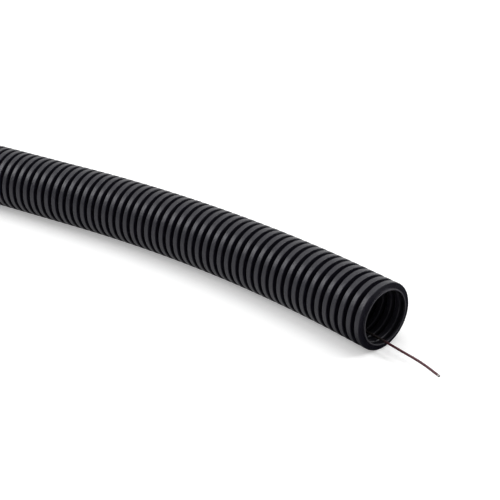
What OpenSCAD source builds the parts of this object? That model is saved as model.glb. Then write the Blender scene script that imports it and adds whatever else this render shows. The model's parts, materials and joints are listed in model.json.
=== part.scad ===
// Corrugated conduit with a draw wire, lying on a flat surface with a gentle bend near one end.
// Origin: on the surface, under the middle of the conduit. +Z is up, and +X runs along the conduit
// towards the end that the bend is next to.

/* [Conduit] */
// Length of the piece of conduit along its axis
length = 1000; // [500:50:2000]
// Outer diameter over the crests
outer_d = 25; // [23:0.5:32]
// Outer diameter in the valleys between the crests
valley_d = 20.6; // [18:0.1:22]
// Wall thickness
wall = 0.4; // [0.3:0.05:0.6]
// Distance from one crest to the next
pitch = 3.85; // [3.6:0.05:4.5]
// Width of the open valley between two crests, at its bottom
valley_w = 1.45; // [1.2:0.05:1.6]
// How much each side of a crest leans in between the valley and the top
flank_lean = 0.15; // [0.05:0.05:0.3]
// Radius of the rounded edges of the crests
crest_round = 0.45; // [0.2:0.05:0.6]

/* [Bend] */
// Radius of the bend, to the conduit's axis
bend_r = 475; // [300:25:1500]
// Links in the bend; each is a pair of crests that stays straight
bend_links = 18; // [4:1:30]
// Crests that lie straight between the bend and the nearer end
end_crests = 4; // [3:1:20]

/* [Draw wire] */
// Diameter of the draw wire
wire_d = 0.9; // [0.4:0.1:1.2]

/* [Hidden] */
$fn = 48;

crest_r = outer_d / 2;
valley_r = valley_d / 2;
bore_r = valley_r - wall;
link_crests = 2;
bent_crests = bend_links * link_crests;
far_crests = round(length / pitch) - bent_crests - end_crests;
// The bend turns by this angle at the valley between two links
turn = link_crests * pitch / bend_r * 180 / PI;
// Each bent valley is a short curved sleeve whose ends sit this deep in the walls of the crests
sleeve_seat = wall / 2;
// Half of a crest's width, at its foot and at its top, outside and inside
foot = (pitch - valley_w) / 2;
top = foot - flank_lean;
inner_foot = foot - wall;
inner_top = top - wall;
// Chamfer steps in each rounded edge of a crest
round_steps = 2;

// Where the bend ends and where the conduit's nearer end is, from the start of the bend
bend_angle = bend_links * turn;
bend_end = bend_r * [sin(bend_angle), cos(bend_angle) - 1];
near_end = bend_end + end_crests * pitch * [cos(bend_angle), -sin(bend_angle)];
// The last crest's front edge is the part's furthest reach in X and Y
last_edge = near_end - (pitch / 2 - top + crest_round) * [cos(bend_angle), -sin(bend_angle)];
middle = [(last_edge.x + crest_r * sin(bend_angle) - far_crests * pitch) / 2,
          (last_edge.y - crest_r * cos(bend_angle) + crest_r) / 2];

// Centre line of the draw wire, from its tip at the far end to its tip at the nearer end
wire_route = [
    [-528, 8, 1.5], [-515, 10, 2.5], [-500, 12, 3.5], [-440, 12, 3.5], [-380, 12, 3.5], [-320, 12, 3.5],
    [-260, 12, 3.5], [-200, 12, 3.5], [-140, 12, 3.5], [-80, 12, 3.5], [-20, 12, 3.5], [40, 12, 3.5],
    [100, 12, 3.5], [160, 12, 3.5], [220, 12, 3.5], [280, 12, 3.5], [340, 12, 3.5], [380, 10.5, 3.5],
    [420, 6, 3.5], [460, -2, 3.5], [498, -13, 3.5], [506, -15.5, 3.2], [514, -18, 2.8],
    [522.5, -22, 2.4]];
// Rings per span of the route, and sides of the wire
wire_steps = 3;
wire_sides = 8;

// One rounded edge of a crest at z; side is -1 on the way up to the top and 1 on the way down
function crest_edge(z, side) = [
    for (i = [0 : round_steps]) let (a = 90 * (side < 0 ? i : round_steps - i) / round_steps)
        [crest_r - crest_round * (1 - sin(a)), z + side * (top - crest_round * (1 - cos(a)))]];

// The wall's outline from the foot of the first of n crests to the last foot, as [radius, z].
// Its feet end in the middle of a valley's wall, and a cut end runs on to the middle of a valley.
function wall_outline(n, cut) = let (seat_r = valley_r - wall / 2, last = (n - 1) * pitch) concat(
    [[seat_r, -foot]],
    [for (i = [0 : n - 1]) let (z = i * pitch) each concat(
        i > 0 ? [[valley_r, z - foot]] : [],
        crest_edge(z, -1), crest_edge(z, 1),
        i < n - 1 ? [[valley_r, z + foot]] : [])],
    cut ? [[valley_r, last + foot], [valley_r, last + pitch / 2],
           [bore_r, last + pitch / 2], [bore_r, last + inner_foot]]
        : [[seat_r, last + foot], [seat_r, last + inner_foot]],
    [for (i = [n - 1 : -1 : 0]) let (z = i * pitch) each concat(
        i < n - 1 ? [[bore_r, z + inner_foot]] : [],
        [[crest_r - wall, z + inner_top], [crest_r - wall, z - inner_top]],
        i > 0 ? [[bore_r, z - inner_foot]] : [])],
    [[seat_r, -inner_foot]]);

// A straight run of n crests along +X, whose first crest is half a pitch from here
module straight_run(n, cut = false) {
    translate([pitch / 2, 0, 0]) rotate([0, 90, 0]) rotate_extrude() polygon(wall_outline(n, cut));
}

// The curved valley between two links, which turns about the centre of its own small bend
module valley_sleeve() {
    sleeve_l = valley_w + 2 * sleeve_seat;
    hinge_r = sleeve_l / (turn * PI / 180);
    translate([0, -hinge_r, 0]) rotate([0, 0, 90 - turn / 2])
        rotate_extrude(angle = turn) translate([hinge_r, 0]) difference() {
            circle(valley_r);
            circle(bore_r);
        }
}

// Places its children on the bend, after a number of links from its start
module on_bend(links) {
    translate([0, -bend_r, 0]) rotate([0, 0, -links * turn]) translate([0, bend_r, 0]) children();
}

module conduit() {
    color([0.13, 0.13, 0.14]) translate([-middle.x, -middle.y, crest_r]) {
        rotate([0, 0, 180]) straight_run(far_crests, cut = true);
        for (i = [0 : bend_links - 1]) on_bend(i + 0.5)
            translate([-link_crests * pitch / 2, 0, 0]) straight_run(link_crests);
        translate([bend_end.x, bend_end.y, 0]) rotate([0, 0, -bend_angle])
            straight_run(end_crests, cut = true);
        for (i = [0 : bend_links]) on_bend(i) valley_sleeve();
    }
}

// Point on the smooth curve through b and c, with a and d as their neighbours
function curve(a, b, c, d, t) =
    b + (c - a) * t / 2 + (2 * a - 5 * b + 4 * c - d) * t^2 / 2 + (3 * b - a - 3 * c + d) * t^3 / 2;

function smooth_route(p, steps) = let (last = len(p) - 1) concat(
    [for (i = [0 : last - 1], k = [0 : steps - 1])
        curve(p[max(i - 1, 0)], p[i], p[i + 1], p[min(i + 2, last)], k / steps)],
    [p[last]]);

module draw_wire() {
    path = smooth_route(wire_route, wire_steps);
    n = len(path);
    rings = [for (i = [0 : n - 1]) let (
            along = path[min(i + 1, n - 1)] - path[max(i - 1, 0)],
            side = cross(along, [0, 0, 1]) / norm(cross(along, [0, 0, 1])),
            up = cross(side, along) / norm(along))
        for (k = [0 : wire_sides - 1]) let (a = 360 * k / wire_sides)
            path[i] + wire_d / 2 * (cos(a) * side + sin(a) * up)];
    walls = [for (i = [0 : n - 2], k = [0 : wire_sides - 1]) let (
            j = (k + 1) % wire_sides, here = i * wire_sides, next = here + wire_sides)
        each [[here + k, next + j, here + j], [here + k, next + k, next + j]]];
    ends = [[for (k = [0 : wire_sides - 1]) k],
            [for (k = [wire_sides - 1 : -1 : 0]) (n - 1) * wire_sides + k]];
    color([0.25, 0.12, 0.12]) polyhedron(rings, concat(walls, ends));
}

conduit();
draw_wire();
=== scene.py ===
"""Corrugated conduit and its draw wire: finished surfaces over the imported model, and a plain studio."""

import json
import math

import bpy
from mathutils import Matrix, Vector, noise


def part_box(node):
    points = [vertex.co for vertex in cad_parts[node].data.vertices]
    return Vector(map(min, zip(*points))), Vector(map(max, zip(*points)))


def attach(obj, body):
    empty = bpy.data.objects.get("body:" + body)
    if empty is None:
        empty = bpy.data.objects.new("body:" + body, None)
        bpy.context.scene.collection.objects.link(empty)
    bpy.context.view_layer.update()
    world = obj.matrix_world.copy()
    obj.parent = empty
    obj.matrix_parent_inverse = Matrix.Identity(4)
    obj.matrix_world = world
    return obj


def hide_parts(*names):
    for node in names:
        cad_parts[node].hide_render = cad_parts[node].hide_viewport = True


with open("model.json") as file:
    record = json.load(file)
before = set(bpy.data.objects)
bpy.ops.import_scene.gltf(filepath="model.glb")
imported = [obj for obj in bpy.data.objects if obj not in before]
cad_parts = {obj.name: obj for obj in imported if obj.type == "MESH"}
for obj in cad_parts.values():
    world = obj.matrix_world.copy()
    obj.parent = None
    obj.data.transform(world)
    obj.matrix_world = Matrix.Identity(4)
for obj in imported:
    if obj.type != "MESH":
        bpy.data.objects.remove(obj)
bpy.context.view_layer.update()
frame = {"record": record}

bl_info = {
    "name": "Corrugated conduit",
    "version": (1, 1, 0),
    "blender": (4, 5, 0),
    "location": "View3D > Sidebar > Conduit",
    "description": "Builds the skin of a corrugated conduit, its draw wire and a plain studio",
    "category": "Object",
}

MOUNTS = {mount["name"]: mount for mount in frame["record"]["mounts"]}
CREST_RADIUS = MOUNTS["far_outside"]["dims"]["r_mm"] / 1000
FAR_END = Vector((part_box("conduit")[0][0], *MOUNTS["far_outside"]["pos_m"][1:]))

# Centre line of the draw wire in metres, from its tip at the far end to its tip at the nearer end
WIRE_ROUTE = [
    (-0.528, 0.008, 0.0015), (-0.515, 0.010, 0.0025), (-0.500, 0.012, 0.0035), (-0.440, 0.012, 0.0035),
    (-0.380, 0.012, 0.0035), (-0.320, 0.012, 0.0035), (-0.260, 0.012, 0.0035), (-0.200, 0.012, 0.0035),
    (-0.140, 0.012, 0.0035), (-0.080, 0.012, 0.0035), (-0.020, 0.012, 0.0035), (0.040, 0.012, 0.0035),
    (0.100, 0.012, 0.0035), (0.160, 0.012, 0.0035), (0.220, 0.012, 0.0035), (0.280, 0.012, 0.0035),
    (0.340, 0.012, 0.0035), (0.380, 0.0105, 0.0035), (0.420, 0.006, 0.0035), (0.460, -0.002, 0.0035),
    (0.498, -0.013, 0.0035), (0.506, -0.0155, 0.0032), (0.514, -0.018, 0.0028), (0.5225, -0.022, 0.0024),
]

# Streaks in the lacquer run along the wire, so their pattern is stretched that way
STREAK_SHAPE = (0.08, 1, 1)

# How quickly the waver of a cut end changes round the conduit
CUT_WAVES = 2.7

WHITE = (1.0, 1.0, 1.0)

# Direction from the conduit to the open front of the studio
FRONT = (0.37, -0.82, 0.44)

# From the middle of the nearer mouth to the point that the lamps face
LAMP_AIM = Vector((-0.12, 0, 0))

FLOOR_REACH = 8.0


def length_property(name, description, default):
    return bpy.props.FloatProperty(
        name=name, description=description, default=default, min=0, precision=5, unit="LENGTH"
    )


def colour_property(name, description, default):
    return bpy.props.FloatVectorProperty(
        name=name, description=description, default=default, size=3, min=0, max=1, subtype="COLOR"
    )


def offset_property(name, description, default):
    return bpy.props.FloatVectorProperty(
        name=name, description=description, default=default, size=3, subtype="TRANSLATION", unit="LENGTH"
    )


def angle_property(name, description, degrees):
    return bpy.props.FloatProperty(
        name=name, description=description, default=math.radians(degrees), subtype="ANGLE"
    )


def amount_property(name, description, default):
    return bpy.props.FloatProperty(
        name=name, description=description, default=default, min=0, max=1, subtype="FACTOR"
    )


def power_property(name, description, default):
    return bpy.props.FloatProperty(
        name=name, description=description, default=default, min=0, unit="POWER"
    )


def count_property(name, description, default):
    return bpy.props.IntProperty(name=name, description=description, default=default, min=1)


class ConduitSettings(bpy.types.PropertyGroup):
    """Sizes and finish of the conduit's wall."""

    valley_diameter: length_property("Valley diameter", "Outside diameter in the valleys", 0.0206)
    pitch: length_property("Pitch", "Distance from one crest to the next", 0.00385)
    wall: length_property("Wall", "Thickness of the wall", 0.0004)
    valley_width: length_property("Valley width", "Width of a valley at its bottom", 0.00145)
    flank_lean: length_property("Flank lean", "How far each side of a crest leans in", 0.00015)
    crest_round: length_property("Crest rounding", "Radius of the rounded crest edges", 0.0003)
    foot_round: length_property("Foot rounding", "Radius at the foot of a crest", 0.00014)
    ridge_round: length_property("Ridge rounding", "Radius of the ridges' edges in the bore", 0.00036)
    bend_radius: length_property("Bend radius", "Radius of the bend, to the axis", 0.475)
    crests: count_property("Crests", "Crests in the whole length", 260)
    bent_crests: count_property("Bent crests", "Crests in the bend", 36)
    end_crests: count_property("End crests", "Straight crests from the bend to the nearer end", 4)
    stretches: count_property("Stretches", "Objects that the length is divided into", 5)
    sides: count_property("Sides", "Faces round the conduit", 56)
    seam_side: count_property("Seam side", "Edge between two faces that carries a mould seam", 10)
    cut_round: length_property("Cut rounding", "Radius of the edges of the cut ends", 0.00013)
    cut_wave: length_property("Cut wave", "How far the cut ends waver", 0.00012)
    cut_reach: length_property("Cut reach", "How far from a cut end its waver dies out", 0.0008)
    colour: colour_property("Colour", "Colour of the black plastic", (0.0050, 0.0046, 0.0088))
    # Painted light: a lighter colour for the bore's wall, which lifts the dark inside of the conduit
    bore_light_colour: colour_property("Bore light colour", "Colour of the plastic inside", (0.0150, 0.0145, 0.0190))
    scuff_colour: colour_property("Scuff colour", "Colour of rubbed plastic", (0.045, 0.044, 0.052))
    # Pale colour of the cut ends: partly knife-cut plastic, partly a painted highlight along the lip
    cut_and_highlight_colour: colour_property("Cut and highlight colour", "Colour of the cut edges", (0.060, 0.058, 0.066))
    sheen_colour: colour_property("Sheen colour", "Tint of what the plastic mirrors", (0.96, 0.955, 1.0))
    roughness: amount_property("Roughness", "Roughness of the plastic", 0.34)

    @property
    def valley_radius(self):
        return self.valley_diameter / 2

    @property
    def bore_radius(self):
        return self.valley_radius - self.wall


class WireSettings(bpy.types.PropertyGroup):
    """Size and finish of the draw wire."""

    diameter: length_property("Diameter", "Diameter of the draw wire", 0.0009)
    bare_tip: length_property("Bare tip", "How far the lacquer is gone from the cut tips", 0.0007)
    colour: colour_property("Colour", "Colour of the wire's lacquer", (0.065, 0.0045, 0.011))
    # Painted shade: the lacquer's colour inside the bore, darker than its own colour
    bore_shade_colour: colour_property(
        "Bore shade colour", "Colour of the lacquer inside the bore", (0.005, 0.0012, 0.0015)
    )
    # The painted shade in the bore begins this far from the tips
    unshaded_reach: length_property("Unshaded reach", "How far the unshaded lacquer reaches from the tips", 0.022)
    steel: colour_property("Steel", "Colour of the bare steel", (0.36, 0.34, 0.33))
    roughness: amount_property("Roughness", "Roughness of the lacquer", 0.42)


class StudioSettings(bpy.types.PropertyGroup):
    """Camera, lamps and floor."""

    camera_offset: offset_property(
        "Camera offset", "Camera's place from the nearer mouth", (0.1414, -0.3163, 0.1908)
    )
    camera_turn: angle_property("Camera turn", "Turn of the camera about the vertical", 31.75)
    camera_tilt: angle_property("Camera tilt", "How far the camera looks down", 25.77)
    camera_roll: angle_property("Camera roll", "Turn of the camera about its line of sight", 0.47)
    lens: bpy.props.FloatProperty(
        name="Lens", description="Focal length of the camera in millimetres", default=83.37, min=1
    )
    floor_colour: colour_property("Floor colour", "Colour of the floor", (0.8, 0.8, 0.8))
    # Painted shade: a dark patch on the floor beside the mouth, seen only in glossy rays
    gloss_shade_offset: offset_property(
        "Gloss shade offset", "Middle of the dark card, from the nearer mouth", (0.032, 0.014, 0)
    )
    gloss_shade_reach: length_property("Gloss shade reach", "How far the dark card reaches from its middle", 0.07)
    gloss_shade_colour: colour_property("Gloss shade colour", "Colour of the dark card", (0.02, 0.02, 0.025))
    seen_glow: amount_property("Seen glow", "How far the floor is lifted to white in the picture", 0.25)
    mirrored_glow: amount_property("Mirrored glow", "How far the floor is lifted in a gloss too", 0.08)
    sky: amount_property("Sky", "Strength of the even light all round", 0.45)
    front_shade: amount_property("Front shade", "How dark the open front of the studio mirrors", 0.8)
    top_power: power_property("Top power", "Power of the softbox overhead", 6)
    left_power: power_property("Left power", "Power of the softbox on the left", 5.6)
    right_power: power_property("Right power", "Power of the small softbox on the right", 5.5)


class Value:
    """A shader socket that takes part in plain Python arithmetic."""

    def __init__(self, shader, socket):
        self.shader = shader
        self.socket = socket

    def _math(self, operation, first, second):
        return self.shader.node("ShaderNodeMath", {"operation": operation}, {0: first, 1: second}).out()

    def __add__(self, other):
        return self._math("ADD", self, other)

    def __radd__(self, other):
        return self._math("ADD", other, self)

    def __sub__(self, other):
        return self._math("SUBTRACT", self, other)

    def __rsub__(self, other):
        return self._math("SUBTRACT", other, self)

    def __mul__(self, other):
        return self._math("MULTIPLY", self, other)

    def __rmul__(self, other):
        return self._math("MULTIPLY", other, self)


class Node:
    """One shader node with its outputs at hand."""

    def __init__(self, shader, node):
        self.shader = shader
        self.node = node

    def out(self, name=0):
        return Value(self.shader, self.node.outputs[name])


class Shader:
    """The node tree of a material or a world, built by type, settings and inputs."""

    def __init__(self, owner):
        self.owner = owner
        owner.use_nodes = True
        self.tree = owner.node_tree
        self.tree.nodes.clear()

    def node(self, kind, settings=None, inputs=None):
        node = self.tree.nodes.new(kind)
        for name, value in (settings or {}).items():
            setattr(node, name, value)
        for name, value in (inputs or {}).items():
            if isinstance(value, Value):
                self.tree.links.new(value.socket, node.inputs[name])
            else:
                node.inputs[name].default_value = value
        return Node(self, node)

    def ramp(self, value, low, high):
        """0 below low, 1 above high and a smooth rise between them."""
        settings = {"interpolation_type": "SMOOTHSTEP"}
        return self.node("ShaderNodeMapRange", settings, {0: value, 1: low, 2: high}).out()

    def mix(self, factor, first, second):
        settings = {"data_type": "RGBA"}
        return self.node("ShaderNodeMix", settings, {0: factor, 6: first, 7: second}).out(2)

    def noise(self, place, scale, detail, roughness):
        inputs = {"Vector": place, "Scale": scale, "Detail": detail, "Roughness": roughness}
        return self.node("ShaderNodeTexNoise", None, inputs).out("Fac")

    def attribute(self, name):
        return self.node("ShaderNodeAttribute", {"attribute_name": name}).out("Fac")

    def place(self):
        return self.node("ShaderNodeTexCoord").out("Object")

    def distance(self, place, point):
        settings = {"operation": "DISTANCE"}
        return self.node("ShaderNodeVectorMath", settings, {0: place, 1: point}).out("Value")

    def dot(self, first, second):
        settings = {"operation": "DOT_PRODUCT"}
        return self.node("ShaderNodeVectorMath", settings, {0: first, 1: second}).out("Value")

    def stretched(self, place, scale):
        return self.node("ShaderNodeMapping", None, {"Vector": place, "Scale": scale}).out()

    def bump(self, height, distance, strength):
        inputs = {"Height": height, "Distance": distance, "Strength": strength}
        return self.node("ShaderNodeBump", None, inputs).out()

    def seen(self):
        """1 for what the camera sees, by itself or in a gloss or through glass, and 0 for the light."""
        paths = self.node("ShaderNodeLightPath")
        unseen = 1 - paths.out("Is Camera Ray")
        for ray in ("Is Glossy Ray", "Is Transmission Ray"):
            unseen = unseen * (1 - paths.out(ray))
        return 1 - unseen

    def surface(self, socket):
        """The owner, with this shader as its surface."""
        kind = "World" if isinstance(self.owner, bpy.types.World) else "Material"
        self.node(f"ShaderNodeOutput{kind}", None, {"Surface": socket})
        return self.owner


    def shared(self, share, first, second):
        """One shader where the share is 0, and another where it is 1."""
        return self.node("ShaderNodeMixShader", None, {0: share, 1: first, 2: second}).out()


def rgba(colour):
    return (*colour, 1.0)


def plastic_material(settings):
    """Black plastic: fine grain, rubbed crests, mould seams, an inside painted lighter as painted light,
    and pale cut ends that are partly a painted highlight.
    """
    shader = Shader(bpy.data.materials.new("conduit_plastic"))
    place = shader.place()
    cut = shader.attribute("cut")
    seam = 1 - shader.ramp(shader.attribute("seam"), low=0.00006, high=0.00022)
    crest_top = shader.ramp(shader.attribute("crest"), low=0.93, high=0.99)
    grain = shader.noise(place, scale=5200, detail=2.0, roughness=0.6)
    pebble = shader.noise(place, scale=1300, detail=3.0, roughness=0.55)
    clouds = shader.noise(place, scale=90, detail=3.0, roughness=0.6)
    rub = shader.noise(place, scale=260, detail=5.0, roughness=0.7)
    scuffs = shader.ramp(rub, low=0.54, high=0.74) * crest_top
    specks = shader.ramp(shader.noise(place, scale=2600, detail=1.0, roughness=0.4), low=0.74, high=0.80)
    knife = shader.noise(place, scale=900, detail=4.0, roughness=0.7)

    cloudy_colour = rgba([1.5 * c for c in settings.colour])
    tint = shader.mix(clouds * 0.5, rgba(settings.colour), cloudy_colour)
    worn = shader.mix(scuffs * 0.35 + specks * 0.25, tint, rgba(settings.scuff_colour))
    # Painted light: the bore's wall gets a lighter colour than the outside
    bore_lit = shader.mix(shader.attribute("inside"), worn, rgba(settings.bore_light_colour))
    height = grain * 0.5 + pebble * 1.3 + seam * 1.6 + cut * knife * 2.0
    inputs = {
        # The cut faces are paler: partly knife-cut plastic, partly a painted highlight along the lip
        "Base Color": shader.mix(cut * (0.6 + 0.4 * knife), bore_lit, rgba(settings.cut_and_highlight_colour)),
        "Roughness": settings.roughness - 0.06 + clouds * 0.12 + scuffs * 0.12 + cut * 0.2,
        "Normal": shader.bump(height, distance=0.00007, strength=0.8),
        "Specular Tint": rgba(settings.sheen_colour),
        "IOR": 1.46,
    }
    return shader.surface(shader.node("ShaderNodeBsdfPrincipled", None, inputs).out())


def wire_material(settings):
    """Dark red lacquered steel wire: painted shade darkens it in the bore, drawn thin in streaks and bare
    at the cut tips.
    """
    shader = Shader(bpy.data.materials.new("draw_wire_lacquer"))
    place = shader.place()
    streaks = shader.noise(
        shader.stretched(place, STREAK_SHAPE), scale=4200, detail=4.0, roughness=0.6
    )
    covered = 1
    # Painted shade: the lacquer turns darker and rougher beyond the unshaded reach from both tips, inside
    # the bore
    bore_shade = 1
    for tip in (WIRE_ROUTE[0], WIRE_ROUTE[-1]):
        from_tip = shader.distance(place, tip)
        covered = covered * shader.ramp(
            from_tip - streaks * 0.0004, low=settings.bare_tip - 0.0002, high=settings.bare_tip
        )
        bore_shade = bore_shade * shader.ramp(from_tip, low=settings.unshaded_reach, high=settings.unshaded_reach + 0.005)
    bare = 1 - covered
    thin = shader.ramp(streaks, low=0.62, high=0.8) * 0.08 * (1 - bore_shade)
    lacquer = shader.mix(bore_shade, rgba(settings.colour), rgba(settings.bore_shade_colour))
    inputs = {
        "Base Color": shader.mix(thin + bare, lacquer, rgba(settings.steel)),
        "Metallic": thin + bare * 0.7,
        "Roughness": settings.roughness - 0.06 + streaks * 0.16 + bore_shade * 0.4,
        "Normal": shader.bump(streaks, distance=0.00001, strength=0.4),
    }
    return shader.surface(shader.node("ShaderNodeBsdfPrincipled", None, inputs).out())


def arc(centre, radius, start, end, steps):
    """Points on an arc with the outward normal of each, as (z, r, (normal z, normal r))."""
    points = []
    for i in range(steps + 1):
        angle = math.radians(start + (end - start) * i / steps)
        normal = (math.cos(angle), math.sin(angle))
        points.append((centre[0] + radius * normal[0], centre[1] + radius * normal[1], normal))
    return points


def turned(points):
    """The same points with their normals turned to the other side, for a hollow corner."""
    return [(z, r, (-along, -out)) for z, r, (along, out) in points]


def mirrored(points):
    """The points of a crest's first half again, for its second half."""
    return [(-z, r, (-along, out)) for z, r, (along, out) in reversed(points)]


def outer_profile(settings):
    """One pitch of the outside, from the middle of a valley to the middle of the next."""
    valley = settings.valley_radius
    foot = (settings.pitch - settings.valley_width) / 2
    top = foot - settings.flank_lean
    small = settings.foot_round
    edge = settings.crest_round
    foot_arc = arc((-foot - small, valley + small), small, 270, 360, 2)
    edge_arc = arc((-top + edge, CREST_RADIUS - edge), edge, 180, 90, 4)
    half = [(-settings.pitch / 2, valley, (0, 1))] + turned(foot_arc) + edge_arc
    return half + mirrored(half)


def inner_profile(settings):
    """One pitch of the bore's wall, from the middle of a ridge to the middle of the next."""
    bore = settings.bore_radius
    groove = CREST_RADIUS - settings.wall
    foot = (settings.pitch - settings.valley_width) / 2 - settings.wall
    top = foot - settings.flank_lean
    edge = settings.ridge_round
    small = settings.foot_round
    ridge_arc = arc((-foot - edge, bore + edge), edge, 270, 360, 3)
    groove_arc = arc((-top + small, groove - small), small, 180, 90, 2)
    half = [(-settings.pitch / 2, bore, (0, -1))] + ridge_arc + turned(groove_arc)
    return half + mirrored(half)


class CentreLine:
    """The conduit's axis: straight from the far end, then bent, then straight to the nearer end."""

    def __init__(self, settings):
        self.radius = settings.bend_radius
        self.bend_start = (settings.crests - settings.bent_crests - settings.end_crests) * settings.pitch
        self.bend_length = settings.bent_crests * settings.pitch
        self.length = settings.crests * settings.pitch

    def at(self, distance):
        """The point on the axis at that distance from the far end, and the direction there."""
        past = min(max(distance - self.bend_start, 0), self.bend_length)
        turn = past / self.radius
        along = Vector((math.cos(turn), -math.sin(turn), 0))
        bent = Vector((math.sin(turn), math.cos(turn) - 1, 0)) * self.radius
        straight = min(distance, self.bend_start)
        rest = max(distance - self.bend_start - self.bend_length, 0)
        return FAR_END + Vector((straight, 0, 0)) + bent + along * rest, along


class Skin:
    """Rings of vertices round the centre line, with their normals, their values and their faces."""

    def __init__(self, settings):
        self.settings = settings
        self.centre_line = CentreLine(settings)
        self.points, self.normals, self.faces = [], [], []
        self.values = {"crest": [], "seam": [], "cut": [], "inside": []}

    def seam_distance(self, k, radius):
        """Distance round the conduit from side k to the nearer of its two opposite seams."""
        half = self.settings.sides // 2
        away = (k - self.settings.seam_side) % half
        return min(away, half - away) * 2 * math.pi * radius / self.settings.sides

    def ring(self, distance, radius, normal, cut=0.0, inside=0.0):
        """Add a ring; its normal is given along the conduit and outwards. Returns its first vertex."""
        settings = self.settings
        start = len(self.points)
        centre, along = self.centre_line.at(distance)
        side = Vector((-along.y, along.x, 0))
        length = self.centre_line.length
        waver = settings.cut_wave * max(0, 1 - min(distance, length - distance) / settings.cut_reach)
        inwards = along if distance < length / 2 else -along
        height = (radius - settings.valley_radius) / (CREST_RADIUS - settings.valley_radius)
        for k in range(settings.sides):
            angle = 2 * math.pi * k / settings.sides
            out = side * math.cos(angle) + Vector((0, 0, math.sin(angle)))
            share = 0.5 + 0.5 * noise.noise(out * CUT_WAVES + along)
            self.points.append(centre + out * radius + inwards * waver * share)
            self.normals.append(along * normal[0] + out * normal[1])
            self.values["crest"].append(height)
            self.values["seam"].append(self.seam_distance(k, radius))
            self.values["cut"].append(cut)
            self.values["inside"].append(inside)
        return start

    def join(self, first, second):
        """Quads between two rings, which face outwards where the second lies further along."""
        sides = self.settings.sides
        for k in range(sides):
            j = (k + 1) % sides
            self.faces.append((first + k, first + j, second + j, second + k))

    def wall(self, profile, first, count, inner):
        """One side of the wall over a number of crests, up to the rounding of a cut end."""
        highest = self.centre_line.length - self.settings.cut_round
        last_ring = None
        for crest in range(first, first + count):
            middle = (crest + 0.5) * self.settings.pitch
            for z, r, normal in profile if last_ring is None else profile[1:]:
                distance = min(max(middle + z, self.settings.cut_round), highest)
                ring = self.ring(distance, r, normal, inside=float(inner))
                if last_ring is not None:
                    self.join(*((ring, last_ring) if inner else (last_ring, ring)))
                last_ring = ring

    def cut_end(self, distance, direction):
        """The wall's cut face at one end, with its two edges rounded."""
        small = self.settings.cut_round
        outer = arc((-small, self.settings.valley_radius - small), small, 90, 0, 3)
        inner = arc((-small, self.settings.bore_radius + small), small, 360, 270, 3)
        last_ring = None
        for z, r, (along, out) in outer + inner:
            ring = self.ring(distance + z * direction, r, (along * direction, out), 1.0)
            if last_ring is not None:
                self.join(*((last_ring, ring) if direction > 0 else (ring, last_ring)))
            last_ring = ring

    def object(self, name):
        mesh = bpy.data.meshes.new(name)
        mesh.from_pydata(self.points, [], self.faces)
        for value, numbers in self.values.items():
            mesh.attributes.new(value, "FLOAT", "POINT").data.foreach_set("value", numbers)
        mesh.shade_smooth()
        mesh.normals_split_custom_set_from_vertices(self.normals)
        return bpy.data.objects.new(name, mesh)


def finish_piece(piece, node, material):
    bpy.context.collection.objects.link(piece)
    piece.data.materials.append(material)
    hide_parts(node)
    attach(piece, "root")


class ConduitOperator(bpy.types.Operator):
    """Build the conduit's skin over the whole length, in equal stretches"""

    bl_idname = "conduit.skin"
    bl_label = "Conduit"
    bl_options = {"REGISTER", "UNDO"}

    def execute(self, context):
        settings = context.scene.conduit_settings
        material = plastic_material(settings)
        count, rest = divmod(settings.crests, settings.stretches)
        if rest:
            raise ValueError("The crests don't divide evenly into the stretches")
        for i in range(settings.stretches):
            skin = Skin(settings)
            skin.wall(outer_profile(settings), i * count, count, inner=False)
            skin.wall(inner_profile(settings), i * count, count, inner=True)
            if i == 0:
                skin.cut_end(0.0, -1)
            if i == settings.stretches - 1:
                skin.cut_end(skin.centre_line.length, 1)
            finish_piece(skin.object(f"conduit_stretch_{i + 1}"), "conduit", material)
        return {"FINISHED"}


class DrawWireOperator(bpy.types.Operator):
    """Build the draw wire along its route through the bore"""

    bl_idname = "conduit.draw_wire"
    bl_label = "Draw wire"
    bl_options = {"REGISTER", "UNDO"}

    def execute(self, context):
        settings = context.scene.wire_settings
        curve = bpy.data.curves.new("draw_wire_curve", "CURVE")
        curve.dimensions = "3D"
        curve.bevel_depth = settings.diameter / 2
        curve.bevel_resolution = 3
        curve.resolution_u = 8
        curve.use_fill_caps = True
        spline = curve.splines.new("BEZIER")
        spline.bezier_points.add(len(WIRE_ROUTE) - 1)
        for point, place in zip(spline.bezier_points, WIRE_ROUTE):
            point.co = place
            point.handle_left_type = "AUTO"
            point.handle_right_type = "AUTO"
        wire = bpy.data.objects.new("draw_wire_lacquered", curve)
        finish_piece(wire, "draw_wire", wire_material(settings))
        return {"FINISHED"}


def floor_material(settings, gloss_shade):
    """White floor that keeps the shadow, with a patch of painted shade beside the mouth that only a gloss
    shows.
    """
    shader = Shader(bpy.data.materials.new("studio_floor"))
    paths = shader.node("ShaderNodeLightPath")
    pale, dark = (
        shader.node("ShaderNodeBsdfDiffuse", None, {"Color": rgba(colour)}).out()
        for colour in (settings.floor_colour, settings.gloss_shade_colour)
    )
    glow = shader.node("ShaderNodeEmission", None, {"Color": rgba(WHITE)}).out()
    glowing = shader.node("ShaderNodeAddShader", None, {0: pale, 1: glow}).out()
    share = shader.seen() * settings.mirrored_glow + paths.out("Is Camera Ray") * settings.seen_glow
    white = shader.shared(share, pale, glowing)
    # Painted shade in reflections: near the patch the floor turns dark for glossy rays only
    from_gloss_shade = shader.distance(shader.place(), gloss_shade)
    beside = 1 - shader.ramp(from_gloss_shade, low=settings.gloss_shade_reach / 2, high=settings.gloss_shade_reach)
    return shader.surface(shader.shared(beside * paths.out("Is Glossy Ray"), white, dark))


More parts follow.
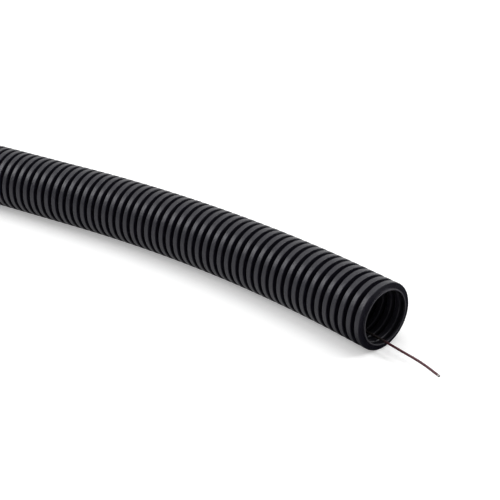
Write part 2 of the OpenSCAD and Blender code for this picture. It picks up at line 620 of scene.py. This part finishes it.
def white_world(settings):
    """Even grey light all round, seen as white, but for the open front of the studio in a gloss."""
    shader = Shader(bpy.data.worlds.new("studio_world"))
    direction = shader.node("ShaderNodeTexCoord").out("Generated")
    front = shader.ramp(shader.dot(direction, FRONT), low=0.25, high=0.8)
    gloss = shader.node("ShaderNodeLightPath").out("Is Glossy Ray")
    light, white, dark = (
        shader.node("ShaderNodeBackground", None, {"Color": rgba(WHITE), "Strength": strength}).out()
        for strength in (settings.sky, 1.0, 1 - settings.front_shade)
    )
    backdrop = shader.shared(front * gloss, white, dark)
    return shader.surface(shader.shared(shader.seen(), light, backdrop))


def softbox(name, aim, azimuth, elevation, distance, size, power):
    """A rectangular lamp that faces a point, from a direction given in degrees."""
    turn, rise = math.radians(azimuth), math.radians(elevation)
    away = Vector((math.cos(turn) * math.cos(rise), math.sin(turn) * math.cos(rise), math.sin(rise)))
    lamp = bpy.data.lights.new(name, "AREA")
    lamp.shape = "RECTANGLE"
    lamp.size, lamp.size_y = size
    lamp.energy = power
    obj = bpy.data.objects.new(name, lamp)
    obj.location = aim + away * distance
    obj.rotation_euler = away.to_track_quat("Z", "Y").to_euler()
    bpy.context.collection.objects.link(obj)


class StudioOperator(bpy.types.Operator):
    """Set up the floor, the lamps and the camera"""

    bl_idname = "conduit.studio"
    bl_label = "Studio"
    bl_options = {"REGISTER", "UNDO"}

    def execute(self, context):
        settings = context.scene.studio_settings
        centre_line = CentreLine(context.scene.conduit_settings)
        mouth, _ = centre_line.at(centre_line.length)
        camera = bpy.data.objects.new("camera", bpy.data.cameras.new("camera"))
        camera.data.lens = settings.lens
        camera.data.sensor_width = 36
        camera.data.clip_start = 0.01
        camera.data.clip_end = 50
        camera.location = mouth + Vector(settings.camera_offset)
        turns = (
            (settings.camera_turn, "Z"),
            (math.pi / 2 - settings.camera_tilt, "X"),
            (settings.camera_roll, "Z"),
        )
        rotation = Matrix.Identity(3)
        for angle, axis in turns:
            rotation = rotation @ Matrix.Rotation(angle, 3, axis)
        camera.rotation_euler = rotation.to_euler()
        context.collection.objects.link(camera)
        context.scene.camera = camera

        mesh = bpy.data.meshes.new("studio_floor")
        corners = [
            (x * FLOOR_REACH, y * FLOOR_REACH, 0) for x, y in ((-1, -1), (1, -1), (1, 1), (-1, 1))
        ]
        mesh.from_pydata(corners, [], [(0, 1, 2, 3)])
        # Middle of the patch of painted shade on the floor
        gloss_shade = mouth + Vector(settings.gloss_shade_offset)
        mesh.materials.append(floor_material(settings, (gloss_shade.x, gloss_shade.y, 0)))
        floor = bpy.data.objects.new("studio_floor", mesh)
        context.collection.objects.link(floor)

        context.scene.world = white_world(settings)
        aim = mouth + LAMP_AIM
        softbox(
            "top_softbox", aim, azimuth=60, elevation=86, distance=1.15,
            size=(1.0, 0.8), power=settings.top_power,
        )
        softbox(
            "left_softbox", aim, azimuth=-153, elevation=40, distance=1.3,
            size=(0.6, 0.46), power=settings.left_power,
        )
        softbox(
            "right_softbox", aim, azimuth=36, elevation=35, distance=1.3,
            size=(0.5, 0.3), power=settings.right_power,
        )
        context.scene.view_settings.view_transform = "Standard"
        return {"FINISHED"}


class ConduitPanel(bpy.types.Panel):
    """Buttons and sizes of the conduit, its draw wire and the studio"""

    bl_idname = "VIEW3D_PT_conduit"
    bl_label = "Corrugated conduit"
    bl_space_type = "VIEW_3D"
    bl_region_type = "UI"
    bl_category = "Conduit"

    def draw(self, context):
        layout = self.layout
        for group_name, operator in (
            ("conduit_settings", ConduitOperator.bl_idname),
            ("wire_settings", DrawWireOperator.bl_idname),
            ("studio_settings", StudioOperator.bl_idname),
        ):
            group = getattr(context.scene, group_name)
            box = layout.box()
            for name in group.__annotations__:
                box.prop(group, name)
            box.operator(operator)


CLASSES = (
    ConduitSettings, WireSettings, StudioSettings,
    ConduitOperator, DrawWireOperator, StudioOperator, ConduitPanel,
)


def register():
    for cls in CLASSES:
        bpy.utils.register_class(cls)
    bpy.types.Scene.conduit_settings = bpy.props.PointerProperty(type=ConduitSettings)
    bpy.types.Scene.wire_settings = bpy.props.PointerProperty(type=WireSettings)
    bpy.types.Scene.studio_settings = bpy.props.PointerProperty(type=StudioSettings)


def unregister():
    del bpy.types.Scene.studio_settings
    del bpy.types.Scene.wire_settings
    del bpy.types.Scene.conduit_settings
    for cls in reversed(CLASSES):
        bpy.utils.unregister_class(cls)


def main():
    register()
    bpy.ops.conduit.studio()
    bpy.ops.conduit.draw_wire()
    bpy.ops.conduit.skin()


if __name__ == "__main__":
    main()
